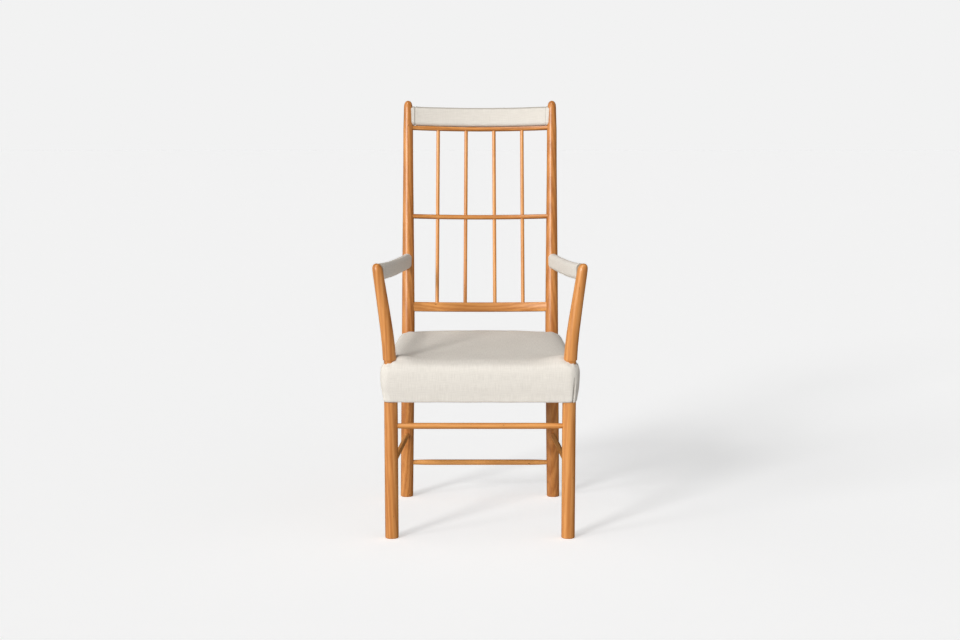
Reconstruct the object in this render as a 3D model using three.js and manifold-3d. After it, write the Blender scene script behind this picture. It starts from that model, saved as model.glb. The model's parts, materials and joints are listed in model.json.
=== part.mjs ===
// A high-back wooden armchair with a stuffed-over linen seat, wrapped arms and a wrapped headrest.
// Millimetres, +Z up, front towards -Y. Left is -X, as seen from the front.
// While it is built, the front legs stand on the line Y = 0; the last lines centre the chair.
import * as THREE from 'three';
import { mergeVertices } from 'three/addons/utils/BufferGeometryUtils.js';
import Module from 'manifold-3d';

const wasm = await Module();
wasm.setup();

// ---------- driving dimensions ----------
const CHAIR_HEIGHT = 1080;
const CLEARANCE = 0.35;             // between any two pieces that meet
const SIDES = [['left', -1], ['right', 1]];

// The axis of a leg is two lines, across (X) and depth (Y), each with one soft bend in it:
// its height, the value there, the slopes below and above, and the softness in mm.
// Radii are [height, radius] pairs, from the floor up.
const FRONT_LEG = {
  across: { at: 462, value: 216.2, below: 0, above: 0.155, softness: 62 },
  depth: { at: 462, value: 0, below: 0, above: 0, softness: 1 },
  radii: [[0, 16.6], [300, 16.7], [338, 16.6]],
  supportRadii: [[441, 16.5], [475, 16.0], [510, 15.5], [555, 14.8], [605, 13.8], [650, 13.0]],
  top: 676,
  domeHeight: 18,
  turning: 20,
};
const REAR_POST = {
  across: { at: 450, value: 193.1, below: -0.0175, above: 0.0035, softness: 50 },
  depth: { at: 430, value: 425, below: -0.1047, above: 0.1677, softness: 50 },
  radii: [[0, 17.2], [260, 17.5], [360, 17.5], [400, 17.4], [435, 17.4], [475, 17.3], [525, 17.0],
    [600, 16.5], [700, 15.6], [840, 14.2], [920, 13.5], [1002, 13.3], [1026, 12.5], [1048, 11.9]],
  top: CHAIR_HEIGHT,
  domeHeight: 19,
  turning: 20,
};
const FOOT_EASING = 1.5;
const DOME = { power: 2.4, inset: 0.3, rises: [0, 0.4, 0.7, 0.9, 0.995] };
// The front leg is slimmer inside the seat, where the cover sits flush around it.
const REBATE = { bottom: 338.6, middle: 400, top: 441, radius: 14.2 };

// A stretcher is slim up to its root, then swells to its full radius.
const STRETCHER = {
  radius: 7.7, swellRadius: 7.3, endRadius: 6.4,
  root: 17, swell: 37, full: 62, sides: 14, endFromLegAxis: 3.5,
};
const SIDE_STRETCHER = { ...STRETCHER, radius: 6.9, swellRadius: 6.7, endRadius: 6.2 };
const FRONT_STRETCHER_HEIGHT = 278.6;
const REAR_STRETCHER_HEIGHT = 96.3;
const SIDE_STRETCHER_HEIGHT = { front: 178, rear: 175 };

const BACK = { bow: 25, recline: Math.atan(REAR_POST.depth.above), steps: 10, endFromPostAxis: 4 };
const LOWER_RAIL = { height: 526.6, tall: 25.5, deep: 15, corner: 4, forward: 4 };
const MID_RAIL = { height: 768.7, tall: 11.5, deep: 18, corner: 4.6, forward: 2 };
const UPPER_RAIL = { height: 1007.3, tall: 11.2, deep: 16, corner: 4.6, forward: 0 };
const SPINDLE = { radius: 5, sides: 12, socket: 7 };
const SPINDLE_PLACES = [{ low: -116.2, high: -113.9 }, { low: -40.3, high: -37.8 },
  { low: 40.3, high: 37.8 }, { low: 116.2, high: 113.9 }];

const FABRIC = 1.8;
const HEADREST = {
  height: 1039.3, tall: 51.4, deep: 20, corner: 8.5, smallestCorner: 1.5, padding: 2.6,
  tenonTall: 28, tenonDeep: 8,
};

const ARM = {
  wide: 24, tall: 40, padding: 2.6, steps: 6, tenonRadius: 6, tenonSides: 12, tenonRoot: 16, tenonFromAxis: 4,
};
const ARM_LINE = [
  [243, 5, 656], [230.5, 120, 650.8], [219, 232, 648.8], [207.5, 345, 648.4], [195.8, 458, 649],
];

const SEAT = { frontX: 216.6, rearX: 200, rearY: 417, cornerSteps: 4, smallestCorner: 5 };
// Rows up the outside of the seat cover: outset from the leg lines, height at the front, height at the rear.
const SEAT_ROWS = [[16.9, 339, 339], [20.5, 356, 356], [25.4, 380, 380], [26.4, 404, 410], [24.8, 420, 431],
  [18.2, 428.5, 445], [8, 433, 454], [-12, 436.8, 460], [-46, 436.5, 463], [-110, 436.5, 463]];
const SEAT_CROWN = { outset: -170, front: 437.5, rear: 463 };
const COVER_WALL = 2.2;
const WADDING = { wall: 5, bottom: 376 };
const CUT_BEYOND = 5;               // how far a hollowing cutter runs past an open end
const FOAM_SIDE = 13.4;
const SEAT_RAIL = {
  bottom: 345, top: 410, thick: 22, corner: 2,
  tenonThick: 8, tenonTall: 44, tenonCorner: 1.5, tenonFromAxis: 6,
};
const FRONT_RAIL_Y = -3;
const REAR_RAIL_Y = 420;
const SIDE_RAIL_OUT = 1.5;
const STRAP = { wide: 50, thick: 1.2, level: 412.2, wave: 0.95, flat: 27, onRail: 9 };
const STRAP_COLUMNS = [-135, -45, 45, 135];
const STRAP_ROWS = [60, 150, 240, 330];
const HESSIAN = { bottom: 414.3, top: 415.3, outset: 4 };
const DUST_COVER = { bottom: 340.4, top: 341.6, outset: 13.6 };
const CORNER_BLOCK = { bottom: 352, top: 392, leg: 62 };
const SCREW = {
  shank: 2, head: 4.2, rim: 0.8, headTall: 2.6, length: 36, sides: 8,
  height: 372, sunk: 6, apart: 16, access: 4.8,
};

// ---------- shape helpers ----------
const point = (x, y, z) => new THREE.Vector3(x, y, z);
const UP = point(0, 0, 1);

function bend({ at, value, below, above, softness }, height) {
  const run = height - at;
  return value + ((above + below) * run + (above - below) * Math.hypot(run, softness)) / 2;
}

function middleOf(outline) {
  const sum = outline.reduce((total, corner) => total.add(corner), point(0, 0, 0));
  return sum.divideScalar(outline.length);
}

// A closed geometry skinned over outlines with equal point counts. Each outline runs anticlockwise
// when it is seen from the end that the skin is heading for.
function skin(outlines) {
  const count = outlines[0].length;
  const corners = [...outlines.flat(), middleOf(outlines[0]), middleOf(outlines.at(-1))];
  const firstMiddle = corners.length - 2;
  const lastMiddle = corners.length - 1;
  const lastRow = (outlines.length - 1) * count;
  const index = [];
  for (let i = 0; i < count; i++) {
    const next = (i + 1) % count;
    for (let row = 0; row < lastRow; row += count) {
      index.push(row + i, row + next, row + i + count);
      index.push(row + next, row + next + count, row + i + count);
    }
    index.push(firstMiddle, next, i);
    index.push(lastMiddle, lastRow + i, lastRow + next);
  }
  const geometry = new THREE.BufferGeometry();
  geometry.setAttribute('position', new THREE.Float32BufferAttribute(corners.flatMap((c) => c.toArray()), 3));
  geometry.setIndex(index);
  return geometry;
}

function solid(geometry) {
  const bare = geometry.clone();
  bare.deleteAttribute('normal');
  bare.deleteAttribute('uv');
  const merged = mergeVertices(bare, 1e-4);
  return new wasm.Manifold(new wasm.Mesh({
    numProp: 3,
    vertProperties: new Float32Array(merged.attributes.position.array),
    triVerts: new Uint32Array(merged.index.array),
  }));
}

const skinned = (outlines) => solid(skin(outlines));
const cutBy = (form, cutters) => cutters.reduce((rest, cutter) => rest.subtract(cutter), form);

// A flat shape as [across, up] pairs: a rectangle with rounded corners.
function roundedShape(wide, tall, radius, steps = 4) {
  const pairs = [];
  for (const [signX, signY, start] of [[1, 1, 0], [-1, 1, 1], [-1, -1, 2], [1, -1, 3]]) {
    for (let step = 0; step <= steps; step++) {
      const angle = (start + step / steps) * Math.PI / 2;
      pairs.push([signX * (wide / 2 - radius) + radius * Math.cos(angle),
        signY * (tall / 2 - radius) + radius * Math.sin(angle)]);
    }
  }
  return pairs;
}

function roundShape(radius, sides) {
  return Array.from({ length: sides }, (_, i) => {
    const angle = (i + 0.5) / sides * 2 * Math.PI;
    return [radius * Math.cos(angle), radius * Math.sin(angle)];
  });
}

function place(shape, centre, across, up) {
  return shape.map(([a, b]) => centre.clone().addScaledVector(across, a).addScaledVector(up, b));
}

// Two directions square to a heading, so that across x up points along the heading.
function squareTo(heading, roughUp = UP) {
  const across = roughUp.clone().cross(heading).normalize();
  return [across, heading.clone().cross(across).normalize()];
}

// A straight round bar from one point towards another; stations are [distance from the start, radius].
function roundBar(from, to, stations, sides) {
  const heading = to.clone().sub(from).normalize();
  const roughUp = Math.abs(heading.z) > 0.9 ? point(0, 1, 0) : UP;
  const [across, up] = squareTo(heading, roughUp);
  return skinned(stations.map(([distance, radius]) => (
    place(roundShape(radius, sides), from.clone().addScaledVector(heading, distance), across, up))));
}

// ---------- legs and posts ----------
const legAxis = (spec, side, height) => (
  point(side * bend(spec.across, height), bend(spec.depth, height), height));

function upright(spec, side, radii, grow) {
  const shape = (radius, height) => place(roundShape(radius + grow, spec.turning),
    legAxis(spec, side, height), point(1, 0, 0), point(0, 1, 0));
  const rings = [shape(radii[0][1] - FOOT_EASING, 0), shape(radii[0][1], FOOT_EASING)];
  radii.slice(1).forEach(([height, radius]) => rings.push(shape(radius, height)));
  const domeRadius = radii.at(-1)[1] - DOME.inset;
  for (const rise of DOME.rises) {
    const shrink = (1 - rise ** DOME.power) ** (1 / DOME.power);
    rings.push(shape(domeRadius * shrink, spec.top - spec.domeHeight * (1 - rise / DOME.rises.at(-1))));
  }
  return skinned(rings);
}

const REBATED = [...FRONT_LEG.radii, [REBATE.bottom, REBATE.radius], [REBATE.middle, REBATE.radius],
  [REBATE.top - 1, REBATE.radius], ...FRONT_LEG.supportRadii];
const frontLeg = (side, grow = 0) => upright(FRONT_LEG, side, REBATED, grow);
const rearPost = (side, grow = 0) => upright(REAR_POST, side, REAR_POST.radii, grow);
const roomForUprights = SIDES.flatMap(([, side]) => [frontLeg(side, CLEARANCE), rearPost(side, CLEARANCE)]);

// ---------- stretchers ----------
function stretcher(start, finish, spec, grow = 0) {
  const length = start.distanceTo(finish);
  const half = [[spec.endFromLegAxis - grow, spec.endRadius], [spec.root, spec.endRadius],
    [spec.swell, spec.swellRadius], [spec.full, spec.radius]];
  const otherHalf = half.map(([distance, radius]) => [length - distance, radius]).reverse();
  const grown = [...half, ...otherHalf].map(([distance, radius]) => [distance, radius + grow]);
  return roundBar(start, finish, grown, spec.sides);
}

const crossRun = (spec, height) => [legAxis(spec, -1, height), legAxis(spec, 1, height)];
const sideRun = (side) => [legAxis(FRONT_LEG, side, SIDE_STRETCHER_HEIGHT.front),
  legAxis(REAR_POST, side, SIDE_STRETCHER_HEIGHT.rear)];
const STRETCHER_RUNS = [
  ['front_stretcher', ...crossRun(FRONT_LEG, FRONT_STRETCHER_HEIGHT), STRETCHER],
  ['rear_stretcher', ...crossRun(REAR_POST, REAR_STRETCHER_HEIGHT), STRETCHER],
  ['left_stretcher', ...sideRun(-1), SIDE_STRETCHER],
  ['right_stretcher', ...sideRun(1), SIDE_STRETCHER],
];

// ---------- back ----------
const backUp = point(0, Math.sin(BACK.recline), Math.cos(BACK.recline));
const backwards = point(0, Math.cos(BACK.recline), -Math.sin(BACK.recline));

// A place on the bowed back: x from the middle, height of the member where it meets the posts.
function onBack(x, height, forward) {
  const reach = bend(REAR_POST.across, height);
  const bowed = BACK.bow * (1 - (x / reach) ** 2) - forward;
  return point(x, bend(REAR_POST.depth, height), height).addScaledVector(backwards, bowed);
}

function bowedBar(height, forward, wide, tall, corner, grow = 0, endGap = BACK.endFromPostAxis) {
  const reach = bend(REAR_POST.across, height) - endGap + grow;
  const shape = roundedShape(wide + 2 * grow, tall + 2 * grow, corner + grow, 2);
  const outlines = [];
  for (let step = 0; step <= BACK.steps; step++) {
    const x = -reach + 2 * reach * step / BACK.steps;
    const heading = onBack(x + 1, height, forward).sub(onBack(x - 1, height, forward)).normalize();
    const [deep, up] = squareTo(heading, backUp);
    outlines.push(place(shape, onBack(x, height, forward), deep, up));
  }
  return skinned(outlines);
}

const backRail = (spec, grow = 0) => (
  bowedBar(spec.height, spec.forward, spec.deep, spec.tall, spec.corner, grow));

function spindle({ low, high }, grow = 0) {
  const bottom = onBack(low, LOWER_RAIL.height, LOWER_RAIL.forward);
  const top = onBack(high, UPPER_RAIL.height, UPPER_RAIL.forward);
  const length = bottom.distanceTo(top);
  const start = LOWER_RAIL.tall / 2 - SPINDLE.socket - grow;
  const end = length - UPPER_RAIL.tall / 2 + SPINDLE.socket + grow;
  const radius = SPINDLE.radius + grow;
  return roundBar(bottom, top, [[start, radius], [length / 2, radius], [end, radius]], SPINDLE.sides);
}
const roomForSpindles = SPINDLE_PLACES.map((places) => spindle(places, CLEARANCE));

// ---------- headrest ----------
const roomForPosts = SIDES.map(([, side]) => rearPost(side, CLEARANCE));
function headrestLayer(inset, endGap) {
  return bowedBar(HEADREST.height, 0, HEADREST.deep - 2 * inset, HEADREST.tall - 2 * inset,
    Math.max(HEADREST.corner - inset, HEADREST.smallestCorner), 0, endGap);
}
const headrestTenons = (grow = 0) => (
  bowedBar(HEADREST.height, 0, HEADREST.tenonDeep, HEADREST.tenonTall, HEADREST.smallestCorner, grow));

// ---------- arms ----------
const armPath = (side) => new THREE.CatmullRomCurve3(ARM_LINE.map(([x, y, z]) => point(side * x, y, z)));

// One layer of an arm, moved in from its outside. A cutter runs a little past both ends.
function armLayer(side, inset, beyond = 0) {
  const wide = ARM.wide - 2 * inset;
  const shape = roundedShape(wide, ARM.tall - 2 * inset, wide / 2 - 0.4, 3);
  const path = armPath(side);
  const outlines = [];
  for (let step = 0; step <= ARM.steps; step++) {
    const heading = path.getTangent(step / ARM.steps);
    const [acrossArm, up] = squareTo(heading);
    const way = { 0: -1, [ARM.steps]: 1 }[step] ?? 0;
    const middle = path.getPoint(step / ARM.steps).addScaledVector(heading, way * beyond);
    outlines.push(place(shape, middle, acrossArm, up));
  }
  return skinned(outlines);
}

function armTenons(side, grow = 0) {
  const path = armPath(side);
  const radius = ARM.tenonRadius + grow;
  return [[0, -1], [1, 1]].map(([end, way]) => {
    const root = path.getPoint(end);
    const heading = path.getTangent(end).multiplyScalar(way);
    const spec = end === 0 ? FRONT_LEG : REAR_POST;
    const beyond = Math.abs(legAxis(spec, side, root.z).y - root.y) - ARM.tenonFromAxis * way + grow;
    return roundBar(root.clone().addScaledVector(heading, -ARM.tenonRoot), root,
      [[0, radius], [ARM.tenonRoot + beyond, radius]], ARM.tenonSides);
  });
}

// ---------- seat ----------
// The seat's outline at one outset from the leg lines, with round corners; height may differ front to rear.
function seatOutline(outset, frontHeight, rearHeight = frontHeight) {
  const inset = Math.max(SEAT.smallestCorner - outset, 0);
  const radius = Math.max(outset, SEAT.smallestCorner);
  const corners = [[SEAT.rearX - inset, SEAT.rearY - inset, 0], [-SEAT.rearX + inset, SEAT.rearY - inset, 1],
    [-SEAT.frontX + inset, inset, 2], [SEAT.frontX - inset, inset, 3]];
  return corners.flatMap(([x, y, quarter]) => Array.from({ length: SEAT.cornerSteps + 1 }, (_, step) => {
    const angle = (quarter + step / SEAT.cornerSteps) * Math.PI / 2;
    const edge = point(x + radius * Math.cos(angle), y + radius * Math.sin(angle), 0);
    const share = THREE.MathUtils.clamp(edge.y / SEAT.rearY, 0, 1);
    return edge.setZ(THREE.MathUtils.lerp(frontHeight, rearHeight, share));
  }));
}

// A row of the seat's profile, moved square to the profile by a wall.
function movedRow(rows, i, wall) {
  const [outset, front, rear] = rows[i];
  const before = rows[Math.max(i - 1, 0)];
  const after = rows[Math.min(i + 1, rows.length - 1)];
  const normal = i === 0 ? new THREE.Vector2(1, 0)
    : new THREE.Vector2(after[1] - before[1], before[0] - after[0]).normalize();
  return [outset - wall * normal.x, front - wall * normal.y, rear - wall * normal.y];
}

// The seat's outside moved in by a wall, from a level bottom up to the crown.
function seatBody(wall, bottom, sideLimit = Infinity) {
  const rows = SEAT_ROWS.map((_, i) => movedRow(SEAT_ROWS, i, wall));
  const above = rows.filter(([, front]) => front > bottom + 1);
  const under = rows[rows.length - above.length - 1] ?? rows[0];
  const share = THREE.MathUtils.clamp((bottom - under[1]) / (above[0][1] - under[1]), 0, 1);
  const first = [THREE.MathUtils.lerp(under[0], above[0][0], share), bottom, bottom];
  const crown = [SEAT_CROWN.outset, SEAT_CROWN.front - wall, SEAT_CROWN.rear - wall];
  const limited = [first, ...above, crown].map(([outset, ...heights]) => (
    [Math.min(outset, sideLimit), ...heights]));
  return skinned(limited.map((row) => seatOutline(...row)));
}

// A beam along a run of two points, set back from both; the seat's rails and their tenons are beams.
const railHeight = (SEAT_RAIL.bottom + SEAT_RAIL.top) / 2;
function railBeam([from, to], setback, thick, tall, corner) {
  const heading = to.clone().sub(from).normalize();
  const [acrossRail, up] = squareTo(heading);
  const shape = roundedShape(thick, tall, corner, 1);
  return skinned([setback, from.distanceTo(to) - setback].map((distance) => (
    place(shape, from.clone().addScaledVector(heading, distance), acrossRail, up))));
}

const railBody = (run, grow = 0) => railBeam(run, 0,
  SEAT_RAIL.thick + 2 * grow, SEAT_RAIL.top - SEAT_RAIL.bottom + 2 * grow, SEAT_RAIL.corner);
const railTenons = (run, grow = 0) => railBeam(run, SEAT_RAIL.tenonFromAxis - grow,
  SEAT_RAIL.tenonThick + 2 * grow, SEAT_RAIL.tenonTall + 2 * grow, SEAT_RAIL.tenonCorner);

const rearRailX = bend(REAR_POST.across, railHeight);
const crossRailEnds = (x, y) => [point(-x, y, railHeight), point(x, y, railHeight)];
const sideRailEnds = (side) => [point(side * (FRONT_LEG.across.value + SIDE_RAIL_OUT), 0, railHeight),
  point(side * (rearRailX + SIDE_RAIL_OUT), bend(REAR_POST.depth, railHeight), railHeight)];
const frontRun = crossRailEnds(FRONT_LEG.across.value, FRONT_RAIL_Y);
const rearRun = crossRailEnds(rearRailX, REAR_RAIL_Y);
const roomForSideRails = SIDES.map(([, side]) => railBody(sideRailEnds(side), CLEARANCE));
const roomForCrossTenons = [frontRun, rearRun].map((run) => railTenons(run, CLEARANCE));
const SEAT_RAILS = [
  ['seat_rail_front', frontRun, roomForSideRails],
  ['seat_rail_rear', rearRun, roomForSideRails],
  ['seat_rail_left', sideRailEnds(-1), roomForCrossTenons],
  ['seat_rail_right', sideRailEnds(1), roomForCrossTenons],
];

// A woven strap: at each crossing it lies over or under, and it drops to the rails at both ends.
function strap(start, finish, crossings, firstOver) {
  const heading = finish.clone().sub(start).normalize();
  const length = start.distanceTo(finish);
  const [acrossStrap, up] = squareTo(heading);
  const stations = [[0, -STRAP.wave]];
  crossings.forEach((distance, i) => {
    const lift = (i % 2 === 0) === firstOver ? STRAP.wave : -STRAP.wave;
    stations.push([distance - STRAP.flat, lift], [distance + STRAP.flat, lift]);
  });
  stations.push([length, -STRAP.wave]);
  const shape = [[STRAP.wide / 2, STRAP.thick / 2], [-STRAP.wide / 2, STRAP.thick / 2],
    [-STRAP.wide / 2, -STRAP.thick / 2], [STRAP.wide / 2, -STRAP.thick / 2]];
  return skinned(stations.map(([distance, lift]) => place(shape,
    start.clone().addScaledVector(heading, distance).addScaledVector(UP, lift), acrossStrap, up)));
}

function sheet({ bottom, top, outset }) {
  return cutBy(skinned([seatOutline(outset, bottom), seatOutline(outset, top)]), roomForUprights);
}

// ---------- corner blocks and their screws ----------
const innerFace = SEAT_RAIL.thick / 2 + CLEARANCE;
const BLOCK_CORNERS = [
  ['front_left', -1, FRONT_RAIL_Y + innerFace, 1], ['front_right', 1, FRONT_RAIL_Y + innerFace, 1],
  ['rear_left', -1, REAR_RAIL_Y - innerFace, -1], ['rear_right', 1, REAR_RAIL_Y - innerFace, -1],
];
const sideRailInnerX = (y) => {
  const [front, rear] = sideRailEnds(1);
  return THREE.MathUtils.lerp(front.x, rear.x, y / rear.y) - innerFace - CLEARANCE;
};

function cornerBlock(side, faceY, inward) {
  const reach = faceY + inward * CORNER_BLOCK.leg;
  const plan = [[sideRailInnerX(faceY), faceY], [sideRailInnerX(reach), reach],
    [sideRailInnerX(faceY) - CORNER_BLOCK.leg, faceY]];
  const ring = plan.map(([x, y]) => [side * x, y]);
  const anticlockwise = THREE.ShapeUtils.isClockWise(ring.map(([x, y]) => new THREE.Vector2(x, y)))
    ? ring.reverse() : ring;
  const prism = skinned([CORNER_BLOCK.bottom, CORNER_BLOCK.top].map((height) => (
    anticlockwise.map(([x, y]) => point(x, y, height)))));
  return cutBy(prism, roomForUprights);
}

// One screw towards the cross rail and one towards the side rail, through each block's slanted face.
function screwsFor([, side, faceY, inward]) {
  const cornerX = sideRailInnerX(faceY);
  const half = CORNER_BLOCK.leg / 2;
  const onSlant = (shift) => (
    point(side * (cornerX - half - shift), faceY + inward * (half - shift), SCREW.height));
  return [[onSlant(SCREW.apart / 2), point(0, -inward, 0)], [onSlant(-SCREW.apart / 2), point(side, 0, 0)]];
}

function screw([face, heading], grow = 0) {
  const start = face.clone().addScaledVector(heading, SCREW.sunk);
  const stations = [[-grow, SCREW.head + grow], [SCREW.rim, SCREW.head + grow],
    [SCREW.headTall + grow, SCREW.shank + grow], [SCREW.length + grow, SCREW.shank + grow]];
  return roundBar(start, start.clone().add(heading), stations, SCREW.sides);
}

// The screw's own hole, opened out to the block's slanted face so that a driver can reach the head.
function screwHole([face, heading]) {
  const outside = face.clone().addScaledVector(heading, -2 * SCREW.sunk);
  const access = roundBar(outside, face, [[0, SCREW.access], [3 * SCREW.sunk, SCREW.access]], SCREW.sides);
  return screw([face, heading], CLEARANCE).add(access);
}
const SCREW_RUNS = BLOCK_CORNERS.flatMap(screwsFor);
const screwHoles = SCREW_RUNS.map(screwHole);

// ---------- materials ----------
const finish = (color, roughness, metalness = 0) => (
  new THREE.MeshStandardMaterial({ color, roughness, metalness }));
const wood = finish(0xc98a4e, 0.45);
const hiddenWood = finish(0xd8bd93, 0.7);
const linen = finish(0xe4ddd0, 0.9);
const wadding = finish(0xf2f2ee, 0.95);
const foam = finish(0xe9dfb8, 0.95);
const jute = finish(0xa98a5c, 0.95);
const dustCloth = finish(0x2b2b2b, 0.95);
const steel = finish(0xb9bcc0, 0.35, 1);

// ---------- assembly ----------
const chair = new THREE.Group();

function add(name, form, material) {
  const { vertProperties, triVerts } = form.getMesh();
  const geometry = new THREE.BufferGeometry();
  geometry.setAttribute('position', new THREE.Float32BufferAttribute(vertProperties, 3));
  geometry.setIndex(Array.from(triVerts));
  geometry.computeVertexNormals();
  const mesh = new THREE.Mesh(geometry, material);
  mesh.name = name;
  chair.add(mesh);
}

const stretcherSockets = STRETCHER_RUNS.map(([, start, end, spec]) => stretcher(start, end, spec, CLEARANCE));
const railMortises = SEAT_RAILS.map(([, run]) => railTenons(run, CLEARANCE));
const backRailSockets = [LOWER_RAIL, MID_RAIL, UPPER_RAIL].map((spec) => backRail(spec, CLEARANCE));

for (const [word, side] of SIDES) {
  const armSockets = armTenons(side, CLEARANCE);
  const shared = [...stretcherSockets, ...railMortises, ...armSockets];
  add(`front_leg_${word}`, cutBy(frontLeg(side), shared), wood);
  add(`rear_post_${word}`, cutBy(rearPost(side),
    [...shared, ...backRailSockets, headrestTenons(CLEARANCE)]), wood);
}
for (const [name, start, end, spec] of STRETCHER_RUNS) {
  add(name, stretcher(start, end, spec), wood);
}

add('lower_back_rail', cutBy(backRail(LOWER_RAIL), roomForSpindles), wood);
add('mid_back_rail', cutBy(backRail(MID_RAIL), roomForSpindles), wood);
add('upper_back_rail', cutBy(backRail(UPPER_RAIL), roomForSpindles), wood);
SPINDLE_PLACES.forEach((places, i) => add(`spindle_${i + 1}`, spindle(places), wood));

const boardInset = FABRIC + HEADREST.padding + 2 * CLEARANCE;
add('headrest_board', cutBy(headrestLayer(boardInset, 0), roomForPosts).add(headrestTenons()), hiddenWood);
add('headrest_padding', cutBy(headrestLayer(FABRIC + CLEARANCE, 0),
  [headrestLayer(boardInset - CLEARANCE, -CUT_BEYOND), ...roomForPosts]), wadding);
add('headrest_cover', cutBy(headrestLayer(0, 0),
  [headrestLayer(FABRIC, -CUT_BEYOND), ...roomForPosts]), linen);

for (const [word, side] of SIDES) {
  const coreInset = FABRIC + ARM.padding + 2 * CLEARANCE;
  const core = cutBy(armLayer(side, coreInset), roomForUprights);
  add(`arm_core_${word}`, armTenons(side).reduce((joined, tenon) => joined.add(tenon), core), hiddenWood);
  add(`arm_padding_${word}`, cutBy(armLayer(side, FABRIC + CLEARANCE),
    [armLayer(side, coreInset - CLEARANCE, CUT_BEYOND), ...roomForUprights]), wadding);
  add(`arm_cover_${word}`, cutBy(armLayer(side, 0),
    [armLayer(side, FABRIC, CUT_BEYOND), ...roomForUprights]), linen);
}

for (const [name, run, neighbours] of SEAT_RAILS) {
  const body = cutBy(railBody(run), [...roomForUprights, ...neighbours]);
  add(name, cutBy(body.add(railTenons(run)), screwHoles), hiddenWood);
}
for (const [word, side, faceY, inward] of BLOCK_CORNERS) {
  add(`corner_block_${word}`, cutBy(cornerBlock(side, faceY, inward), screwHoles), hiddenWood);
}
SCREW_RUNS.forEach((run, i) => add(`corner_screw_${i + 1}`, screw(run), steel));

STRAP_COLUMNS.forEach((x, i) => {
  const start = point(x, FRONT_RAIL_Y - STRAP.onRail, STRAP.level);
  const crossings = STRAP_ROWS.map((y) => y - start.y);
  add(`webbing_lengthwise_${i + 1}`,
    strap(start, point(x, REAR_RAIL_Y + STRAP.onRail, STRAP.level), crossings, i % 2 === 0), jute);
});
STRAP_ROWS.forEach((y, i) => {
  const reach = sideRailInnerX(y) + innerFace + STRAP.onRail;
  const crossings = STRAP_COLUMNS.map((x) => x + reach);
  add(`webbing_crosswise_${i + 1}`,
    strap(point(-reach, y, STRAP.level), point(reach, y, STRAP.level), crossings, i % 2 === 1), jute);
});
add('seat_hessian', sheet(HESSIAN), jute);

const insideCover = COVER_WALL + CLEARANCE;
const insideWadding = insideCover + WADDING.wall;
add('seat_foam', cutBy(seatBody(insideWadding + CLEARANCE, HESSIAN.top + CLEARANCE, FOAM_SIDE),
  roomForUprights), foam);
add('seat_wadding', cutBy(seatBody(insideCover, WADDING.bottom),
  [seatBody(insideWadding, WADDING.bottom - CUT_BEYOND), ...roomForUprights]), wadding);
const seatBottom = SEAT_ROWS[0][1];
add('seat_cover', cutBy(seatBody(0, seatBottom),
  [seatBody(COVER_WALL, seatBottom - CUT_BEYOND), ...roomForUprights]), linen);
add('seat_dust_cover', sheet(DUST_COVER), dustCloth);

// Stand the chair on Z = 0 with its origin under the middle of its box.
const box = new THREE.Box3().setFromObject(chair);
const centre = box.getCenter(new THREE.Vector3());
chair.position.set(-centre.x, -centre.y, -box.min.z);
chair.updateMatrixWorld(true);

export default chair;
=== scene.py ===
"""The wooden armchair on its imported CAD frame: oiled cherry, linen covers, a pale floor, light and camera.

Metres, +Z up, front towards -Y. Left is -X, as seen from the front.
"""
import json
import math

import bpy
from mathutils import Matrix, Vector, noise


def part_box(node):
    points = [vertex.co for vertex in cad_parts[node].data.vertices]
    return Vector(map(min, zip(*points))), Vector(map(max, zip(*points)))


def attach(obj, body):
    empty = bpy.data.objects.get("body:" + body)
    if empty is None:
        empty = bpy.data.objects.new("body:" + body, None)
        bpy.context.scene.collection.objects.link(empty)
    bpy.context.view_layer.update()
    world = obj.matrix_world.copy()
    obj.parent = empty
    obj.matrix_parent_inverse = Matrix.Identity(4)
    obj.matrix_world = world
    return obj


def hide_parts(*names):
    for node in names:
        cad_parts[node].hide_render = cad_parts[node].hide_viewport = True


MM = 0.001
X_AXIS, Y_AXIS, Z_AXIS = 0, 1, 2
ACROSS, BACK, UP = Vector((1, 0, 0)), Vector((0, 1, 0)), Vector((0, 0, 1))
SIDES = ("left", "right")

# ---------- camera, light and floor ----------
CAMERA = {"before_front_legs": 3.850, "height": 0.960, "pitch": 6.245, "lens": 59.91, "sensor": 36.0}
# Azimuth is to the left of the camera's line; softness is the light's width in degrees.
# A light that doesn't shine gives no highlights.
LIGHTS = {
    "high_key": {"azimuth": 32, "elevation": 60, "strength": 0.98, "softness": 12},
    "low_key": {"azimuth": 33, "elevation": 19, "strength": 1.58, "softness": 12},
    "window": {"azimuth": 54, "elevation": 18, "strength": 0.55, "softness": 14},
    "left_fill": {"azimuth": 80, "elevation": 0, "strength": 0.85, "softness": 100},
    "overhead": {"azimuth": 0, "elevation": 85, "strength": 0.25, "softness": 140, "shines": False},
    "floor_bounce": {"azimuth": 10, "elevation": -45, "strength": 1.30, "softness": 160, "shines": False},
    "back_fill": {"azimuth": 180, "elevation": -5, "strength": 0.70, "softness": 100, "shines": False},
    "right_fill": {"azimuth": -65, "elevation": 5, "strength": 0.72, "softness": 100, "shines": False},
}
NOT_ON_FLOOR = ("high_key", "back_fill")      # they light the chair alone: the floor has one long shadow
ROOM_WHITE = 0.888            # the pale background, as it is seen
FLOOR = {"reach": 300, "albedo": 0.97, "glow": 0.457}

# ---------- wood ----------
EDGE_ANGLE = math.radians(36)       # a sharper edge than this stays sharp in the shading
WELD_WITHIN = 0.02 * MM
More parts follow.
